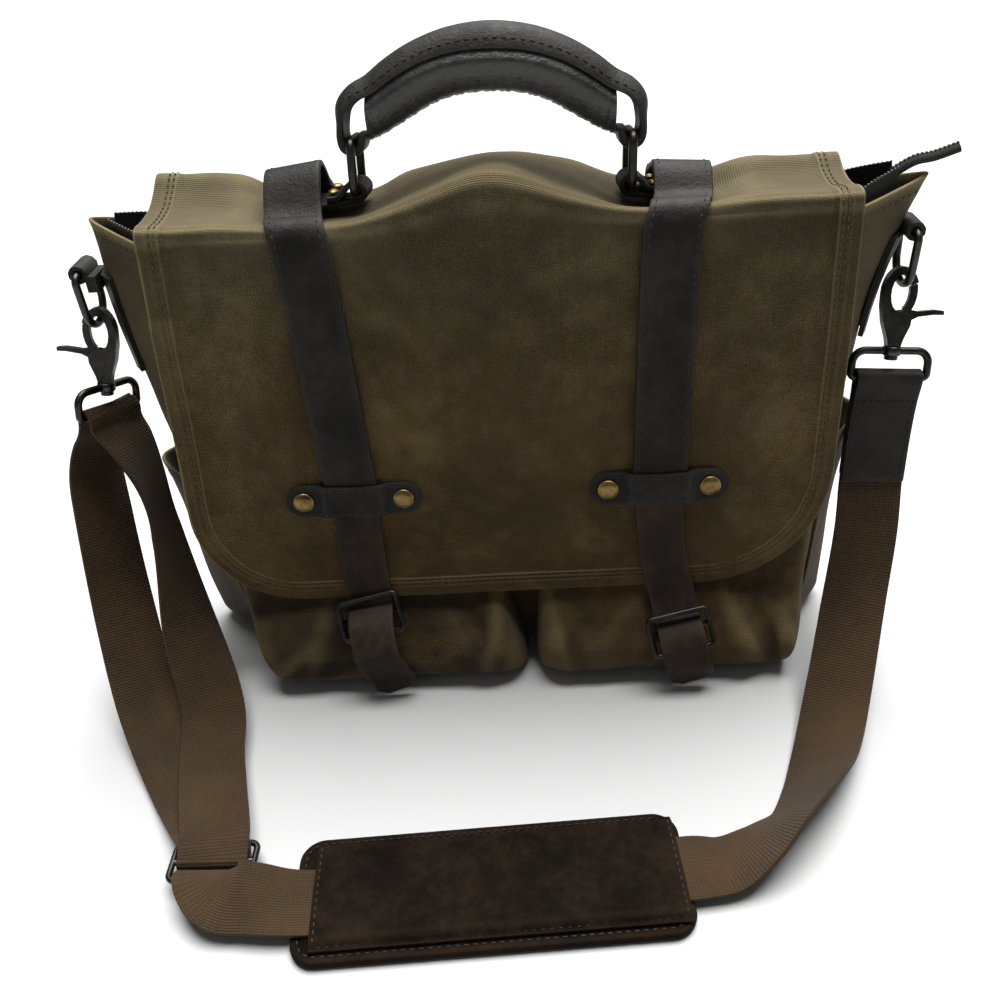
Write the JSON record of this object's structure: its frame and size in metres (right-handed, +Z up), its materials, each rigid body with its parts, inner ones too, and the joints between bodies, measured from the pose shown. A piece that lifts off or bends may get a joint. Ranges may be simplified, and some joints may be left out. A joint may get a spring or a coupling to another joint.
{
  "type": "messenger bag",
  "caption": "Waxed canvas messenger bag with a strapped flap, bellows pockets, slip pockets, a padded handle and a clip-on shoulder strap with pad, standing with the strap laid on the floor.",
  "frame": {"origin": "on the floor under the middle of the flap width, on the flat base", "axes": "+X to the right seen from the front, +Y to the back, +Z up; the flap faces -Y"},
  "size_m": [0.5039, 0.3147, 0.3666],
  "materials": {
    "canvas": "waxed, matt",
    "pocket_canvas": "waxed, matt",
    "dark_leather": "oiled, satin",
    "brown_leather": "worn, satin",
    "black_metal": "gunmetal, worn",
    "aged_brass": "aged",
    "zip_tape": "woven, matt",
    "webbing": "cotton weave, matt"
  },
  "bodies": {
    "bag": {"front_panel": "canvas", "back_panel": "canvas", "gusset_left": "canvas", "gusset_right": "canvas", "flap": "canvas", "base_panel": "pocket_canvas", "side_pocket_left": "pocket_canvas", "side_pocket_right": "pocket_canvas", "front_pocket_left": "pocket_canvas", "front_pocket_right": "pocket_canvas", "flap_strap_left": "dark_leather", "flap_strap_right": "dark_leather", "keeper_left": "dark_leather", "keeper_right": "dark_leather", "handle_strap": "dark_leather", "handle_roll": "dark_leather", "handle_tab_left": "dark_leather", "handle_tab_right": "dark_leather", "side_tab_left": "dark_leather", "side_tab_right": "dark_leather", "strap_end_leather": "dark_leather", "billet_left": "brown_leather", "billet_right": "brown_leather", "buckle_tab_left": "brown_leather", "buckle_tab_right": "brown_leather", "pad_base": "brown_leather", "pad_cover": "brown_leather", "buckle_left": "black_metal", "buckle_right": "black_metal", "handle_ring_left": "black_metal", "handle_ring_right": "black_metal", "d_ring_left": "black_metal", "d_ring_right": "black_metal", "clasp_body_left": "black_metal", "clasp_body_right": "black_metal", "swivel_loop_left": "black_metal", "swivel_loop_right": "black_metal", "strap_slider": "black_metal", "keeper_rivet_left_a": "aged_brass", "keeper_rivet_left_b": "aged_brass", "keeper_rivet_right_a": "aged_brass", "keeper_rivet_right_b": "aged_brass", "tab_rivet_left_a": "aged_brass", "tab_rivet_left_b": "aged_brass", "tab_rivet_right_a": "aged_brass", "tab_rivet_right_b": "aged_brass", "zip_tape_front": "zip_tape", "zip_tape_back": "zip_tape", "zip_tail": "zip_tape", "shoulder_webbing": "webbing"},
    "gate_left": {"clasp_gate_left": "black_metal"},
    "gate_right": {"clasp_gate_right": "black_metal"}
  },
  "joints": [
    {"name": "gate_left_pivot", "type": "hinge", "parent": "bag", "child": "gate_left", "pos_m": [-0.23044, -0.00747, 0.20747], "axis": [0.0182, -0.9848, 0.1727], "range_deg": [0, 28], "stiffness_Nm_per_rad": 0.05},
    {"name": "gate_right_pivot", "type": "hinge", "parent": "bag", "child": "gate_right", "pos_m": [0.22355, -0.00951, 0.20728], "axis": [-0.0192, 0.9613, -0.275], "range_deg": [0, 28], "stiffness_Nm_per_rad": 0.05}
  ]
}
